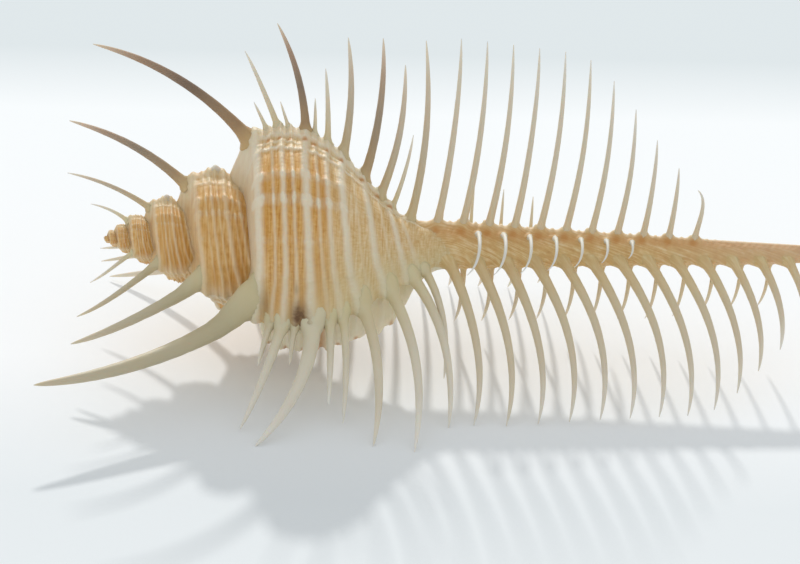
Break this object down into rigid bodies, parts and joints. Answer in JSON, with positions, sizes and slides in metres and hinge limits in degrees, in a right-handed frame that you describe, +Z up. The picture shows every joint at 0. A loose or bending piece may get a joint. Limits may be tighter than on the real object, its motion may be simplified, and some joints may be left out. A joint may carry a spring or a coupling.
{
  "type": "venus comb murex shell",
  "caption": "Spiny sea snail shell with a short spire, round body and long straight canal, resting on its comb-like rows of spines.",
  "frame": {"origin": "middle of the shell's box, on the surface it rests on", "axes": "+X from the apex of the spire to the tip of the siphonal canal, +Z up, +Y to the far side"},
  "size_m": [0.1362, 0.0622, 0.0563],
  "materials": {
    "shell": "satin, ivory ridges over golden orange, spines cream to grey beige"
  },
  "bodies": {
    "root": {"shell": "shell"}
  },
  "joints": []
}
